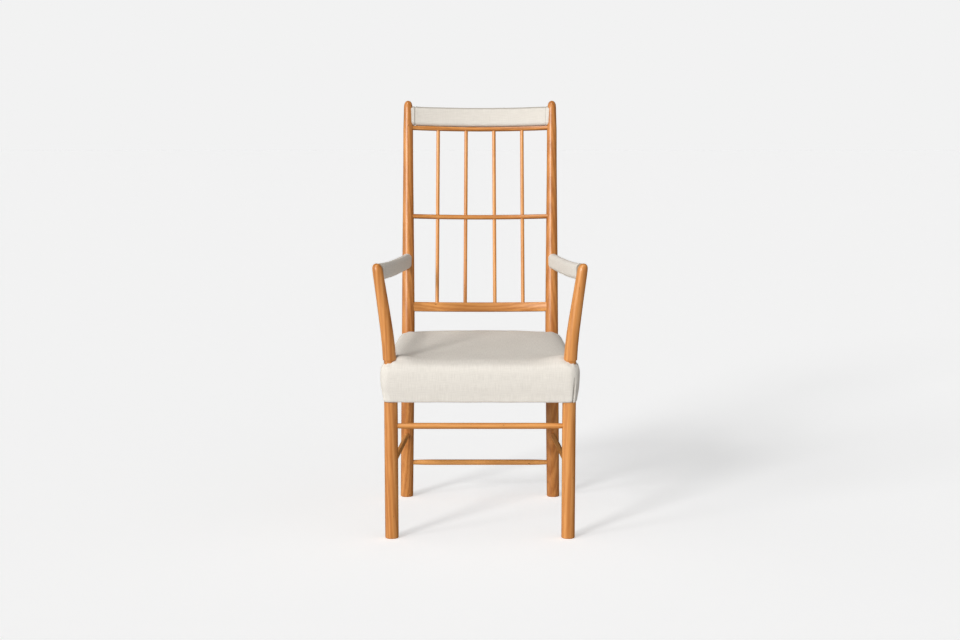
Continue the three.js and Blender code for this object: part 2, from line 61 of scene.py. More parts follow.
# Each piece is cut from its own place in a tree: this far from the heart, and further up than the last.
FROM_HEART = ((25 * MM, 110 * MM), (20 * MM, 90 * MM))      # two directions: the least, and the most on top
UP_THE_TREE = 0.73
SPREAD_STEPS = (0.618, 0.381)       # the fractional parts of their multiples are spread evenly from 0 to 1
ENDS_READ_AT = (0.04, 0.96)         # shares of a piece's length where its middle line is read
BOARD_SPREAD = 0.07                 # how much the boards' tones differ from piece to piece
# Painted light and shade by piece: pieces that catch more light are lighter, the shaded rear posts darker.
LIGHT_PAINTED_BY_PIECE = {"spindle": 0.14, "stretcher": 0.15, "lower_back_rail": 0.08, "front_leg": 0.03, "rear_post": -0.05}

# ---------- linen ----------
# Painted shade: the colour that seams, folds and the covers' turned-in ends are darkened towards.
SEAM_PAINTED_SHADE = (0.46, 0.44, 0.40, 1.0)
ONE_BAND_PER_METRE = 0.314    # the scale of a wave texture that has one band to the metre
# Up the side of the seat, in mm: out from the leg line, and the height above the bottom in front and behind.
SEAT_EDGE = [
    (16.6, 0, 0), (19.2, 4, 4), (21.5, 18, 18), (25.2, 40, 40), (26.4, 63, 72),
    (26.0, 75, 88), (23.4, 84.8, 101), (17.6, 91.2, 113), (9, 95.4, 121.2), (-1, 98.4, 126),
    (-17, 100.4, 128.8), (-44, 100.2, 130.3), (-110, 100.1, 128.9), (-170, 101.2, 127.6), (-230, 102, 127.2),
]
SEAT_EDGE_STEPS = 5           # rows between two neighbours in SEAT_EDGE
SEAT_LAST_ROW = -205 * MM     # one flat face closes the top further in than this
SEAT_HEM = [(-14, 2.6), (-11, 0.8), (-4, 0.2), (5, -0.2), (12, -0.4)]     # turned under, in mm: out, height
SEAT_SIDE_COLUMNS = 64
SEAT_CORNER_COLUMNS = 16
SEAT_CORNER_RADIUS = 5 * MM   # the least, for rows that lie further in
LEG_READ_AT, UPRIGHTS_READ_AT = 0.100, 0.455        # heights
WIDTH_READ_AT = (0.25, 0.80)  # shares of the seat's depth where its width is read
# At the rear, the top is lower by this much at the leg lines than in the middle, and it falls no further past
# this many half widths.
SEAT_SIDE_FALL = {"by": 5.0 * MM, "power": 2.5, "widest": 1.2}
# The cover climbs where the arm supports come through, most of all just inside and behind them.
SEAT_CORNER_LIFT = {"high": 11 * MM, "wide": 40 * MM, "in": 18 * MM, "back": 10 * MM, "power": 3}
BLEND_FROM = 5 * MM           # further in than this from the leg lines, the sides of the top blend softly
BLEND_POWER = 5               # the lower, the softer
LEAST_GAP = 0.5 * MM          # keeps the blend finite on the leg lines
CLOTH_TURNS_AT = 8 * MM       # the flat cloth's skirt starts where the edge stands out less than this
UNEVEN = ((0.90 * MM, 14), (0.35 * MM, 45))       # the stuffing's waves: how high, how many to the metre
# The cloth sinks round each upright, in folds that fade outwards.
PUCKERS = {"post_radius": 17 * MM, "reach": 60 * MM, "above": 0.425, "folds": 7, "high": 0.7 * MM,
           "fade": 22 * MM, "sink": 1.6 * MM, "sink_wide": 4 * MM, "turn": 1.7}
# The pleat at the seat's right front corner: a crease, with painted shade along it.
PLEAT = {"angle": -62, "deep": 3.0 * MM, "wide": 2.6 * MM, "top": 0.399, "fade": 20 * MM,
         "from": 8 * MM, "shade": 0.6, "ridge": 0.5, "ridge_beside": 1.6}
ARM_AROUND, HEADREST_AROUND = 64, 120
SEWN_END = {"long": 24 * MM, "step": 0.6 * MM}      # the stretch at each end with close rows, for its hems
COVER_STEP = 4 * MM           # between the rows elsewhere
ARM_REACH, HEADREST_REACH = 3 * MM, -4 * MM         # how far the covers' ends go past the CAD covers' ends
ARM_NARROWS = {"by": 1.3 * MM, "over": 20 * MM}     # at the front, so that the support hides its end
TURNED_IN = (0.96, 0.85, 0.3)       # the ends of a wrapped cover fold in towards its middle
SLEEVE_UNEVEN = (0.30 * MM, 40)
ARM_ROUND = 0.96              # the corners' radius over the cover's half width
HEADREST_CORNER = 8.5 * MM
BACK_READ_AT = (0.6, 1.0)     # heights
# The seams at a cover's ends: a groove, and a fold of cloth beside it, which lies towards the cover's middle
# if "away" is above 0.
# shade and shade_wide: how dark and how wide the painted shade along each groove is.
SEAMS = {
    "arm": {"at": 19 * MM, "deep": 0.8 * MM, "wide": 1.2 * MM, "fold": 0.5 * MM, "away": -5 * MM,
            "fold_wide": 4 * MM, "shade": 0.5, "shade_wide": 1.2 * MM},
    "headrest_left": {"at": 15 * MM, "deep": 2.4 * MM, "wide": 1.2 * MM, "fold": 0.6 * MM, "away": 3 * MM,
                      "fold_wide": 2.5 * MM, "shade": 1.0, "shade_wide": 1.1 * MM},
    "headrest_right": {"at": 13 * MM, "deep": 0.7 * MM, "wide": 1.1 * MM, "fold": 0.4 * MM, "away": -4 * MM,
                       "fold_wide": 3 * MM, "shade": 0.3, "shade_wide": 1.1 * MM},
}
# The seams along a cover: at and wide are shares of its half size.
ARM_UNDER_SEAM = {"at": 0.15, "wide": 0.07, "deep": 0.8 * MM}
HEADREST_BACK_SEAM = {"at": -0.55, "wide": 0.05, "deep": 0.9 * MM}
HEADREST_TOP_SEAM = {"at": 0.88, "wide": 0.07, "deep": 1.2 * MM}
HEADREST_TOP_PAINTED_SHADE = {"at": 0.96, "wide": 0.07, "deep": 0.8}      # painted shade along the top edge; deep is how dark, from 0 to 1
HEADREST_PAINTED_SHADE = 0.10         # painted shade over the whole headrest: its linen is the seat's, painted a little darker for the light it lacks
DUST_COVER = {"points": 48, "margin": 4 * MM, "up": 0.3 * MM, "sag": 2.2 * MM, "uneven": (0.5 * MM, 18)}

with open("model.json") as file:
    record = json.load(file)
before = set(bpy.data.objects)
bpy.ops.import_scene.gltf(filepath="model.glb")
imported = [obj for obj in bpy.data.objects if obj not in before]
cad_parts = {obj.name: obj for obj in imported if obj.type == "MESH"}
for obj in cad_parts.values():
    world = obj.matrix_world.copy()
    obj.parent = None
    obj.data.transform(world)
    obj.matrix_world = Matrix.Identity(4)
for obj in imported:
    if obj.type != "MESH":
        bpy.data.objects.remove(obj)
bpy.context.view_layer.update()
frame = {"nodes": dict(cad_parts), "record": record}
nodes = frame["nodes"]


# ---------- reading the frame ----------
def cut(node, axis, at):
    """Where a plane across an axis meets the edges of a CAD node."""
    vertices = nodes[node].data.vertices
    met = []
    for edge in nodes[node].data.edges:
        a, b = (vertices[i].co for i in edge.vertices)
        if (a[axis] - at) * (b[axis] - at) < 0:
            met.append(a.lerp(b, (at - a[axis]) / (b[axis] - a[axis])))
    return met


def span(points, direction):
    """Lowest and highest reach of some points along a direction."""
    reaches = [point.dot(direction) for point in points]
    return min(reaches), max(reaches)


def middle(node, axis, at):
    """The middle of a CAD node's cut."""
    met = cut(node, axis, at)
    return Vector([sum(span(met, way)) / 2 for way in (ACROSS, BACK, UP)])


class Spine:
    """The middle line of a long CAD node and its half sizes, carried on straight past its ends."""

    def __init__(self, node, axis, across, up, skip, count=13):
        low, high = (corner[axis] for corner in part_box(node))
        self.places = [low + skip + (high - low - 2 * skip) * i / (count - 1) for i in range(count)]
        self.ends = (low, high)
        self.middles, self.sizes = [], []
        for place in self.places:
            met = cut(node, axis, place)
            (a, b), (c, d) = span(met, across), span(met, up)
            along = Vector([place if i == axis else 0 for i in range(3)])
            flat = across * ((a + b) / 2) + up * ((c + d) / 2)
            self.middles.append(flat + along - along.project(across) - along.project(up))
            self.sizes.append(((b - a) / 2, (d - c) / 2))

    def at(self, place):
        """The middle and the two half sizes at a place. The sizes stay the same past the ends."""
        step = self.places[1] - self.places[0]
        i = min(max(int((place - self.places[0]) / step), 0), len(self.places) - 2)
        share = (place - self.places[i]) / step
        inside = min(max(share, 0), 1)
        size = [lerp(a, b, inside) for a, b in zip(self.sizes[i], self.sizes[i + 1])]
        return lerp(self.middles[i], self.middles[i + 1], share), size


# ---------- making meshes ----------
def skinned(name, rings, weave, closed_round=True, closed_ends=()):
    """A mesh through rows of points. weave gives each point's place on the flat cloth."""
    count = len(rings[0])
    mesh = bpy.data.meshes.new(name)
    faces = []
    for row in range(len(rings) - 1):
        for i in range(count if closed_round else count - 1):
            j = (i + 1) % count
            faces.append((row * count + i, row * count + j, (row + 1) * count + j, (row + 1) * count + i))
    ends = {"first": range(count - 1, -1, -1), "last": range((len(rings) - 1) * count, len(rings) * count)}
    faces += [tuple(ends[end]) for end in closed_ends]
    mesh.from_pydata([tuple(point) for ring in rings for point in ring], [], faces)
    mesh.update()
    mesh.shade_smooth()
    store_vectors(mesh, "weave", [place for row in weave for place in row])
    piece = bpy.data.objects.new(name, mesh)
    bpy.context.scene.collection.objects.link(piece)
    return piece


def store_vectors(mesh, name, vectors):
    layer = mesh.attributes.new(name, "FLOAT_VECTOR", "POINT")
    layer.data.foreach_set("vector", [number for vector in vectors for number in vector])


def store_numbers(mesh, name, numbers):
    layer = mesh.attributes.new(name, "FLOAT", "POINT")
    layer.data.foreach_set("value", numbers)


def store_painted_shade(mesh, shades):
    """How much painted shade darkens the cloth's colour at each point, from 0 to 1: in seams, folds and
    turned-in ends.
    """
    store_numbers(mesh, "seam", [min(max(shade, 0.0), 1.0) for shade in shades])


def displace(piece, amount):
    """Moves every point along its normal by amount(point)."""
    moves = [vertex.normal * amount(vertex.co) for vertex in piece.data.vertices]
    for vertex, move in zip(piece.data.vertices, moves):
        vertex.co += move
    piece.data.update()


def bump(distance, width):
    """1 in the middle, falling smoothly to nothing at about twice the width."""
    return math.exp(-((distance / width) ** 2))


def lerp(a, b, share):
    return a + (b - a) * share


def waves(place, size):
    """Soft unevenness: size is how high the waves are, and how many there are to the metre."""
    high, often = size
    return high * noise.noise(place * often)


def spline(rows, steps):
    """Catmull-Rom rows between the given rows."""
    padded_rows = [rows[0], *rows, rows[-1]]
    out = []
    for i in range(len(rows) - 1):
        before, start, end, after = (Vector(padded_rows[i + k]) for k in range(4))
        for step in range(steps):
            t = step / steps
            squared = (2 * before - 5 * start + 4 * end - after) * t ** 2
            cubed = (3 * start - before - 3 * end + after) * t ** 3
            out.append(0.5 * (2 * start + (end - before) * t + squared + cubed))
    out.append(Vector(rows[-1]))
    return out


# ---------- materials ----------
def new_material(name):
    material = bpy.data.materials.new(name)
    material.use_nodes = True
    tree = material.node_tree
    return material, tree, tree.nodes["Principled BSDF"]


def add_node(tree, kind, inputs=None, **settings):
    node = tree.nodes.new(kind)
    for key, value in settings.items():
        setattr(node, key, value)
    for key, value in (inputs or {}).items():
        if isinstance(value, bpy.types.NodeSocket):
            tree.links.new(value, node.inputs[key])
        else:
            node.inputs[key].default_value = value
    return node


def stretched_noise(tree, source, stretch, scale, detail=3.0, roughness=0.55):
    mapped = add_node(tree, "ShaderNodeMapping", {"Vector": source, "Scale": stretch})
    made = add_node(tree, "ShaderNodeTexNoise", {
        "Vector": mapped.outputs["Vector"], "Scale": scale, "Detail": detail, "Roughness": roughness})
    return made.outputs["Fac"]


def ramp(tree, factor, stops):
    made = add_node(tree, "ShaderNodeValToRGB", {"Fac": factor})
    band = made.color_ramp
    while len(band.elements) < len(stops):
        band.elements.new(0.5)
    for element, (place, colour) in zip(band.elements, stops):
        element.position = place
        element.color = (*colour, 1.0)
    return made.outputs["Color"]


def mix(tree, a, b, factor, blend="MIX"):
    made = add_node(tree, "ShaderNodeMix", data_type="RGBA", blend_type=blend)
    for socket, value in ((made.inputs[0], factor), (made.inputs[6], a), (made.inputs[7], b)):
        if isinstance(value, bpy.types.NodeSocket):
            tree.links.new(value, socket)
        else:
            socket.default_value = value
    return made.outputs[2]


def math_node(tree, operation, a, b):
    return add_node(tree, "ShaderNodeMath", {0: a, 1: b}, operation=operation).outputs["Value"]


def weighted(tree, *terms):
    """The sum of some values, each times its weight."""
    total, *others = [math_node(tree, "MULTIPLY", value, weight) for value, weight in terms]
    for other in others:
        total = math_node(tree, "ADD", total, other)
    return total


def attribute(tree, name, kind="Vector"):
    return add_node(tree, "ShaderNodeAttribute", attribute_name=name).outputs[kind]


def relief(tree, shader, height, distance, strength=1.0):
    made = add_node(tree, "ShaderNodeBump", {"Height": height, "Distance": distance, "Strength": strength})
    tree.links.new(made.outputs["Normal"], shader.inputs["Normal"])


def wood_material(name, stops, fleck, rough):
    """Growth rings, fine pores and a few dark flecks, with the grain along Z of the stored "grain" place."""
    material, tree, shader = new_material(name)
    grain = attribute(tree, "grain")
    slow = add_node(tree, "ShaderNodeMapping", {"Vector": grain, "Scale": (1, 1, 0.045)})
    rings = add_node(tree, "ShaderNodeTexWave", {
        "Vector": slow.outputs["Vector"], "Scale": 34.0, "Distortion": 5.5, "Detail": 3.0,
        "Detail Scale": 1.6, "Detail Roughness": 0.6}, wave_type="RINGS", rings_direction="Z").outputs["Fac"]
    broad = stretched_noise(tree, grain, (1, 1, 0.12), 38, detail=2)
    pores = stretched_noise(tree, grain, (1, 1, 0.03), 620, detail=3, roughness=0.7)
    tone = weighted(tree, (rings, 0.17), (broad, 0.42), (pores, 0.41))
    # The "board" value shifts each piece's tone: a random spread, plus painted light and shade by piece.
    colour = ramp(tree, math_node(tree, "ADD", tone, attribute(tree, "board", "Fac")), stops)
    spots = stretched_noise(tree, grain, (1, 1, 0.22), 210, detail=1)
    spotted = ramp(tree, spots, [(0.0, (0, 0, 0)), (0.76, (0, 0, 0)), (0.80, (1, 1, 1))])
    tree.links.new(mix(tree, colour, (*fleck, 1.0), spotted), shader.inputs["Base Color"])
    rough_pores = math_node(tree, "ADD", math_node(tree, "MULTIPLY", pores, 0.16), rough)
    tree.links.new(rough_pores, shader.inputs["Roughness"])
    relief(tree, shader, pores, 0.06 * MM)
    return material


def cloth_material(name, dark, light, thread, slub_depth):
    """Plain weave on the stored "weave" place: crossing threads, uneven yarn in both directions."""
    material, tree, shader = new_material(name)
    weave = attribute(tree, "weave")
    threads = [add_node(tree, "ShaderNodeTexWave", {
        "Vector": weave, "Scale": ONE_BAND_PER_METRE / thread, "Distortion": 0.6, "Detail": 1.0,
        "Detail Scale": 0.4}, wave_type="BANDS", bands_direction=way).outputs["Fac"] for way in "XY"]
    warp = stretched_noise(tree, weave, (1, 0.07, 1), 560, detail=2)
    weft = stretched_noise(tree, weave, (0.07, 1, 1), 560, detail=2)
    mottle = stretched_noise(tree, weave, (1, 1, 1), 45, detail=3)
    yarn = weighted(tree, (warp, 0.52), (weft, 0.36), (mottle, 0.12))
    colour = ramp(tree, yarn, [(0.30, dark), (0.66, light)])
    crossing = math_node(tree, "MULTIPLY", *threads)
    between_threads = math_node(tree, "MULTIPLY", crossing, 0.16)
    colour = mix(tree, colour, (0.72, 0.70, 0.66, 1), between_threads, "MULTIPLY")
    # Painted shade from the stored value: seams, folds, the pleat, the turned-in ends and the headrest.
    colour = mix(tree, colour, SEAM_PAINTED_SHADE, attribute(tree, "seam", "Fac"), "MULTIPLY")
    tree.links.new(colour, shader.inputs["Base Color"])
    shader.inputs["Roughness"].default_value = 0.92
    shader.inputs["Specular IOR Level"].default_value = 0.08
    shader.inputs["Sheen Weight"].default_value = 0.03
    shader.inputs["Sheen Tint"].default_value = (1.0, 0.92, 0.80, 1.0)
    shader.inputs["Sheen Roughness"].default_value = 0.5
    slubs = math_node(tree, "MULTIPLY", yarn, slub_depth)
    height = math_node(tree, "ADD", math_node(tree, "ADD", *threads), slubs)
    relief(tree, shader, height, 0.18 * MM, 0.8)
    return material


def steel_material():
    material, tree, shader = new_material("steel_zinc")
    scratches = stretched_noise(tree, attribute(tree, "grain"), (1, 1, 0.2), 900)
    colour = ramp(tree, scratches, [(0.3, (0.44, 0.44, 0.46)), (0.7, (0.66, 0.66, 0.67))])
    tree.links.new(colour, shader.inputs["Base Color"])
    shader.inputs["Metallic"].default_value = 1.0
    shader.inputs["Roughness"].default_value = 0.34
    return material


CHERRY = wood_material("cherry_oiled", [(0.28, (0.38, 0.126, 0.025)), (0.50, (0.56, 0.218, 0.053)),
                                        (0.72, (0.72, 0.325, 0.094))],
                       fleck=(0.15, 0.045, 0.014), rough=0.25)
FRAME_WOOD = wood_material("beech_planed", [(0.34, (0.42, 0.28, 0.15)), (0.66, (0.66, 0.49, 0.31))],
                           fleck=(0.25, 0.15, 0.08), rough=0.55)
LINEN = cloth_material("linen_natural", (0.70, 0.655, 0.590), (0.83, 0.785, 0.715), 0.9 * MM, 1.0)
WADDING = cloth_material("wadding_white", (0.74, 0.74, 0.71), (0.88, 0.88, 0.86), 4 * MM, 3.0)
FOAM = cloth_material("foam_cream", (0.66, 0.58, 0.36), (0.80, 0.73, 0.50), 1.6 * MM, 3.0)
JUTE = cloth_material("jute_webbing", (0.26, 0.18, 0.09), (0.46, 0.34, 0.20), 2.2 * MM, 2.0)
DUST_CLOTH = cloth_material("dust_cloth_black", (0.018, 0.018, 0.019), (0.040, 0.040, 0.042), 1.2 * MM, 1.0)
STEEL = steel_material()
FINISHES = {"wood": CHERRY, "hidden_wood": FRAME_WOOD, "linen": LINEN, "wadding": WADDING, "foam": FOAM,
            "jute": JUTE, "dust_cloth": DUST_CLOTH, "steel": STEEL}
SLOTS = {part["node"]: part["material_slot"] for part in frame["record"]["subparts"]}


def dress(piece, slot):
    piece.data.materials.clear()
    piece.data.materials.append(FINISHES[slot])


def lay_grain(piece, seed):
    """Stores where each point lies in the board it was cut from, with the grain along Z."""
    low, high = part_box(piece.name)
    size = high - low
    axis = max(range(3), key=lambda i: size[i])
    ends = [middle(piece.name, axis, low[axis] + size[axis] * share) for share in ENDS_READ_AT]
    turn = (ends[1] - ends[0]).to_track_quat("Z", "Y").inverted()
    spread = [(seed * step) % 1 for step in SPREAD_STEPS]
    from_heart = [least + more * share for (least, more), share in zip(FROM_HEART, spread)]
    cut_at = Vector((*from_heart, seed * UP_THE_TREE))
    points = piece.data.vertices
    store_vectors(piece.data, "grain", [turn @ (point.co - ends[0]) + cut_at for point in points])
    # Painted light and shade by piece, and a random tone from board to board.
    painted_light = sum(amount for word, amount in LIGHT_PAINTED_BY_PIECE.items() if word in piece.name)
    store_numbers(piece.data, "board", [painted_light + BOARD_SPREAD * (spread[0] - 0.5)] * len(points))


def dress_cad_nodes():
    """Every CAD node keeps its shape; it gets its finish, its grain or weave and soft shading."""
    for seed, name in enumerate(sorted(nodes)):
        piece = nodes[name]
        slot = SLOTS[name]
        dress(piece, slot)
        if slot in ("wood", "hidden_wood", "steel"):
            lay_grain(piece, seed)
        else:
            store_vectors(piece.data, "weave", [(v.co.x, v.co.y + v.co.z, 0) for v in piece.data.vertices])
        piece.data.shade_smooth()
        weld = piece.modifiers.new("weld", "WELD")
        weld.merge_threshold = WELD_WITHIN
        sharp = piece.modifiers.new("edges", "EDGE_SPLIT")
        sharp.split_angle = EDGE_ANGLE


# ---------- seat ----------
def seat_plan():
    """The seat's right front and right rear corner, on the leg lines."""
    low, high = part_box("seat_cover")
    front = middle("front_leg_right", Z_AXIS, LEG_READ_AT)
    swell = front.y - low.y
    rear_y = high.y - swell
    places = [lerp(front.y, rear_y, share) for share in WIDTH_READ_AT]
    halves = [span(cut("seat_cover", Y_AXIS, place), ACROSS)[1] - swell for place in places]
    slope = (halves[1] - halves[0]) / (places[1] - places[0])
    rear_x = halves[1] + slope * (rear_y - places[1])
    return front, Vector((rear_x, rear_y, 0))


def seat_outline(front, rear, outset):
    """Points round the seat, this far out from the leg lines, with the way out at each."""
    radius = max(outset, SEAT_CORNER_RADIUS)
    inset = radius - outset
    corners = [(rear.x - inset, rear.y - inset, 0), (inset - rear.x, rear.y - inset, 1),
               (inset - front.x, front.y + inset, 2), (front.x - inset, front.y + inset, 3)]
    arcs = []
    per_corner = SEAT_CORNER_COLUMNS + 1
    for x, y, quarter in corners:
        for step in range(per_corner):
            angle = (quarter + step / SEAT_CORNER_COLUMNS) * math.pi / 2
            out = Vector((math.cos(angle), math.sin(angle), 0))
            arcs.append((Vector((x, y, 0)) + out * radius, out))
    points = []
    for i, arc in enumerate(arcs):
        points.append(arc)
        if i % per_corner == per_corner - 1:
            start, finish = arc[0], arcs[(i + 1) % len(arcs)][0]
            for step in range(1, SEAT_SIDE_COLUMNS):
                share = (1 - math.cos(math.pi * step / SEAT_SIDE_COLUMNS)) / 2
                points.append((start.lerp(finish, share), arc[1]))
    return points


def inward_distance(front, rear, x, y):
    """How far a point is in from the leg lines; the four sides blend softly."""
    half = lerp(front.x, rear.x, (y - front.y) / (rear.y - front.y))
    gaps = [half - x, half + x, y - front.y, rear.y - y]
    return sum(max(gap, LEAST_GAP) ** -BLEND_POWER for gap in gaps) ** (-1 / BLEND_POWER)


def height_on_edge(rows, outset):
    """Front and rear height where the edge's profile stands out by outset; rows run inwards."""
    for (a, front_a, rear_a), (b, front_b, rear_b) in zip(rows, rows[1:]):
        if a >= outset >= b and a > b:
            share = (a - outset) / (a - b)
            return lerp(front_a, front_b, share), lerp(rear_a, rear_b, share)
    return rows[-1][1], rows[-1][2]


def flat_seat_cloth(rows, outlines, turn):
    """Each point's place on the flat cloth. Inside the row where it turns down, that is its place seen from
    above; outside that row, the skirt is unfolded straight outwards.
    """
    lengths = [0.0]
    for (out, height, _), (next_out, next_height, _) in zip(rows, rows[1:]):
        lengths.append(lengths[-1] + math.hypot(next_out - out, next_height - height))
    flat = []
    for k, outline in enumerate(outlines):
        row = []
        for (point, out), (turn_point, _) in zip(outline, outlines[turn]):
            base = point if k >= turn else turn_point + out * (lengths[turn] - lengths[k])
            row.append((base.x, base.y, 0))
        flat.append(row)
    return flat


def make_seat(front, rear):
    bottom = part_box("seat_cover")[0].z
    hem = [(out * MM, height * MM, height * MM) for out, height in SEAT_HEM]
    edge = [tuple(row * MM) for row in spline(SEAT_EDGE, SEAT_EDGE_STEPS)]
    widest = max(range(len(edge)), key=lambda k: edge[k][0])
    inner = edge[widest:]
    top = max(height for _, height, _ in edge)
    rows = [*hem, *[row for row in edge if row[0] > SEAT_LAST_ROW]]
    outlines = [seat_outline(front, rear, row[0]) for row in rows]
    rings = []
    for k, (outset, front_height, rear_height) in enumerate(rows):
        risen = min(max(front_height / top, 0), 1)
        ring = []
        for point, _ in outlines[k]:
            share = min(max((point.y - front.y) / (rear.y - front.y), 0), 1)
            heights = (front_height, rear_height)
            if k > len(hem) and outset < -BLEND_FROM:
                inward = inward_distance(front, rear, point.x, point.y)
                heights = height_on_edge(inner, -inward)
            sideways = min(abs(point.x) / rear.x, SEAT_SIDE_FALL["widest"])
            fall = SEAT_SIDE_FALL["by"] * share * sideways ** SEAT_SIDE_FALL["power"] * risen
            inside = front.x - abs(point.x) - SEAT_CORNER_LIFT["in"]
            behind = point.y - front.y - SEAT_CORNER_LIFT["back"]
            lift = SEAT_CORNER_LIFT["high"] * bump(math.hypot(inside, behind), SEAT_CORNER_LIFT["wide"])
            lift *= risen ** SEAT_CORNER_LIFT["power"]
            ring.append(Vector((point.x, point.y, bottom + lerp(*heights, share) - fall + lift)))
        rings.append(ring)
    skirt_top = len(hem) + widest
    turn = next(k for k, row in enumerate(rows) if k > skirt_top and row[0] < CLOTH_TURNS_AT)
    return skinned("seat_cover_linen", rings, flat_seat_cloth(rows, outlines, turn), closed_ends=["last"])


def shape_seat(seat, front):
    """Puckers where the supports and posts come through, the pleat, and the stuffing's unevenness."""
    uprights = [middle(f"{name}_{side}", Z_AXIS, UPRIGHTS_READ_AT)
                for name in ("front_leg", "rear_post") for side in SIDES]
    angle = math.radians(PLEAT["angle"])
    pleat_way = Vector((math.cos(angle), math.sin(angle), 0))
    pleat_side = Vector((-pleat_way.y, pleat_way.x, 0))

    def beside_pleat(place):
        """How far a point lies to the side of the pleat, or nothing where the pleat doesn't reach."""
        from_corner = Vector((place.x - front.x, place.y - front.y, 0))
        reached = from_corner.dot(pleat_way) > PLEAT["from"] and place.z < PLEAT["top"]
        return from_corner.dot(pleat_side) if reached else None

    def puckers(place):
        move = 0.0
        for i, upright in enumerate(uprights):
            away_x, away_y = place.x - upright.x, place.y - upright.y
            gap = math.hypot(away_x, away_y) - PUCKERS["post_radius"]
            if gap < PUCKERS["reach"] and place.z > PUCKERS["above"]:
                folds = math.cos(math.atan2(away_y, away_x) * PUCKERS["folds"] + i * PUCKERS["turn"])
                move += PUCKERS["high"] * folds * bump(max(gap, 0), PUCKERS["fade"])
                move -= PUCKERS["sink"] * bump(max(gap, 0), PUCKERS["sink_wide"])
        return move

    def pleat(place):
        sideways = beside_pleat(place)
        if sideways is None:
            return 0.0
        deep = PLEAT["deep"] * min(1.0, (PLEAT["top"] - place.z) / PLEAT["fade"])
        ridge = PLEAT["ridge"] * deep * bump(sideways - PLEAT["ridge_beside"] * PLEAT["wide"], PLEAT["wide"])
        return ridge - deep * bump(sideways, PLEAT["wide"] / 2)

    # Painted shade along the pleat's crease.
    def pleat_painted_shade(place):
        sideways = beside_pleat(place)
        return 0.0 if sideways is None else PLEAT["shade"] * bump(sideways, PLEAT["wide"] / 2)

    store_painted_shade(seat.data, [pleat_painted_shade(vertex.co) for vertex in seat.data.vertices])
    displace(seat, lambda place: sum(waves(place, size) for size in UNEVEN) + puckers(place) + pleat(place))


# ---------- arms and headrest ----------
def rounded(half_wide, half_tall, radius, around):
    """Points round a rounded rectangle at even steps, as (across, up) pairs, and its girth."""
    straight_up, straight_over = 2 * (half_tall - radius), 2 * (half_wide - radius)
    arc = math.pi / 2 * radius
    runs = [straight_up, arc, straight_over, arc, straight_up, arc, straight_over, arc]
    total = sum(runs)
    pairs = []
    for i in range(around):
        left = total * i / around
        side = 0
        while left > runs[side]:
            left -= runs[side]
            side += 1
        # Each side is worked out as if it were the right one, and then turned into its place.
        quarter, curved = divmod(side, 2)
        half_out, half_along = (half_tall, half_wide) if quarter % 2 else (half_wide, half_tall)
        if curved:
            angle = left / radius
            x = half_out - radius + radius * math.cos(angle)
            y = half_along - radius + radius * math.sin(angle)
        else:
            x, y = half_out, left - runs[side] / 2
        turn = quarter * math.pi / 2
        pairs.append((x * math.cos(turn) - y * math.sin(turn), x * math.sin(turn) + y * math.cos(turn)))
    return pairs, total


def sleeve_rows(low, high):
    """Places along a wrapped cover, close together at its sewn ends."""
    steps = round(SEWN_END["long"] / SEWN_END["step"])
    fine = [SEWN_END["long"] * i / steps for i in range(steps)]
    start, finish = low + SEWN_END["long"], high - SEWN_END["long"]
    count = round((finish - start) / COVER_STEP)
    return [*[low + gap for gap in fine], *[lerp(start, finish, i / count) for i in range(count + 1)],
            *[high - gap for gap in reversed(fine)]]


def sleeve(name, spine, across, up, radius, around, reach, shape):
    """A cover wrapped round a spine. shape gives each point's move outwards and its painted shade in a seam,
    from its distances to the cover's ends and its place across and up, each from -1 to 1.
    """
    rings, weave, seams = [], [], []
    for place in sleeve_rows(spine.ends[0] - reach, spine.ends[1] + reach):
        centre, (half_wide, half_tall) = spine.at(place)
        pairs, girth = rounded(half_wide, half_tall, radius, around)
        ring, row = [], []
        for i, (a, b) in enumerate(pairs):
            out = (across * a + up * b).normalized()
            move, seam = shape(place - spine.ends[0], spine.ends[1] - place, a / half_wide, b / half_tall)
            seams.append(seam)
            point = centre + across * a + up * b
            ring.append(point + out * (move + waves(point, SLEEVE_UNEVEN)))
            row.append((girth * i / around, place, 0))
        rings.append(ring)
        weave.append(row)
    rims = []
    for rim in (rings[0], rings[-1]):
        centre = sum(rim, Vector()) / around
        rims.append([[centre.lerp(point, share) for point in rim] for share in TURNED_IN])
    rings = [*reversed(rims[0]), *rings, *rims[1]]
    weave = [*[weave[0]] * len(TURNED_IN), *weave, *[weave[-1]] * len(TURNED_IN)]
    cover = skinned(name, rings, weave, closed_ends=["first", "last"])
    # The turned-in ends lie wholly in painted shade.
    turned = [1.0] * (around * len(TURNED_IN))
    store_painted_shade(cover.data, [*turned, *seams, *turned])
    return cover


def end_seam(distance, seam):
    """How far a seam moves the cloth outwards, and its painted shade, at a distance from the cover's end."""
    gap = distance - seam["at"]
    fold = seam["fold"] * bump(gap - seam["away"], seam["fold_wide"])
    return fold - seam["deep"] * bump(gap, seam["wide"]), seam["shade"] * bump(gap, seam["shade_wide"])


def long_seam(share, seam):
    """How deep a seam along the cover is, at a share of the cover's half size."""
    return seam["deep"] * bump(share - seam["at"], seam["wide"])


def make_arm(side):
    spine = Spine(f"arm_cover_{side}", Y_AXIS, ACROSS, UP, skip=30 * MM)

    def shape(from_front, from_rear, a, b):
        moves, shades = zip(*(end_seam(distance, SEAMS["arm"]) for distance in (from_front, from_rear)))
        move = sum(moves) - ARM_NARROWS["by"] * a * a * bump(from_front, ARM_NARROWS["over"])
        if b < -0.5:
            move -= long_seam(a, ARM_UNDER_SEAM)
        return move, sum(shades)

    corner = ARM_ROUND * spine.sizes[0][0]
    return sleeve(f"arm_cover_{side}_linen", spine, ACROSS, UP, corner, ARM_AROUND, ARM_REACH, shape)


